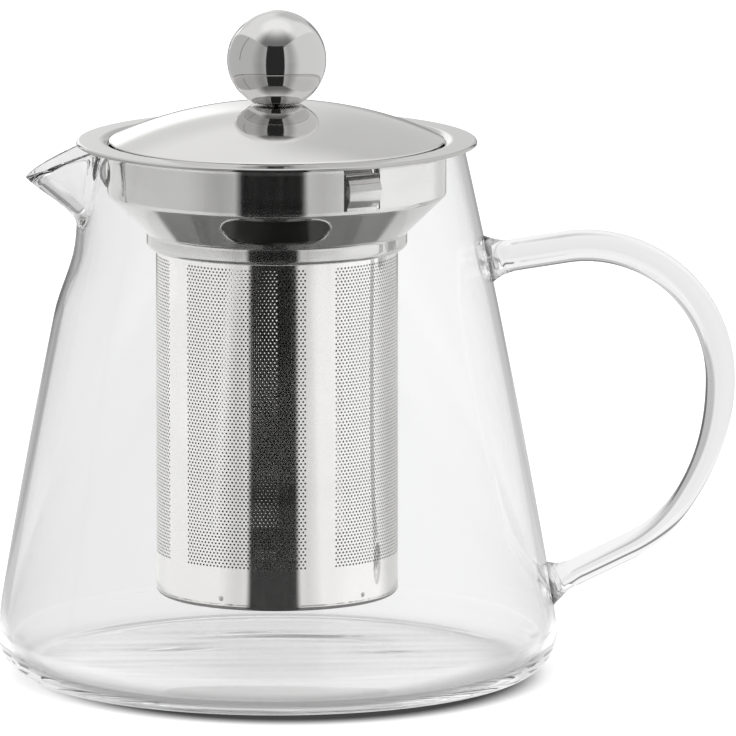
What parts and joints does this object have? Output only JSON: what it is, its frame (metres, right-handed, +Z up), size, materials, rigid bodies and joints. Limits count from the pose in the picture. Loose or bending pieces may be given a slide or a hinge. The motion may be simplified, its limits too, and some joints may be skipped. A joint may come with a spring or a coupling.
{
  "type": "teapot",
  "caption": "Conical clear-glass teapot with a pulled pouring lip and glass rod handle, a lift-out perforated steel strainer and a domed steel lid with a ball knob.",
  "frame": {"origin": "middle of the foot, on the surface that the pot stands on", "axes": "+Z up along the pot's axis, +X towards the handle, -X towards the pouring lip"},
  "size_m": [0.1756, 0.1336, 0.1591],
  "materials": {
    "pot_glass": "clear fire-polished borosilicate",
    "handle_glass": "clear solid rod",
    "collar_steel": "mirror polished stainless sheet",
    "strainer_steel": "polished perforated stainless sheet",
    "lid_steel": "mirror polished stainless sheet",
    "knob_steel": "mirror polished stainless",
    "fixing_steel": "plain stainless"
  },
  "bodies": {
    "pot": {"pot_body": "pot_glass", "handle": "handle_glass"},
    "infuser": {"infuser_collar": "collar_steel", "strainer_tube": "strainer_steel", "strainer_base": "strainer_steel"},
    "lid": {"lid_dome": "lid_steel", "lid_skirt": "lid_steel", "knob_ball": "knob_steel", "knob_washer": "fixing_steel", "knob_screw": "fixing_steel"}
  },
  "joints": [
    {"name": "infuser_lift", "type": "slide", "parent": "pot", "child": "infuser", "axis": [0, 0, 1], "range_m": [0, 0.12]},
    {"name": "lid_lift", "type": "slide", "parent": "infuser", "child": "lid", "axis": [0, 0, 1], "range_m": [0, 0.05]}
  ]
}
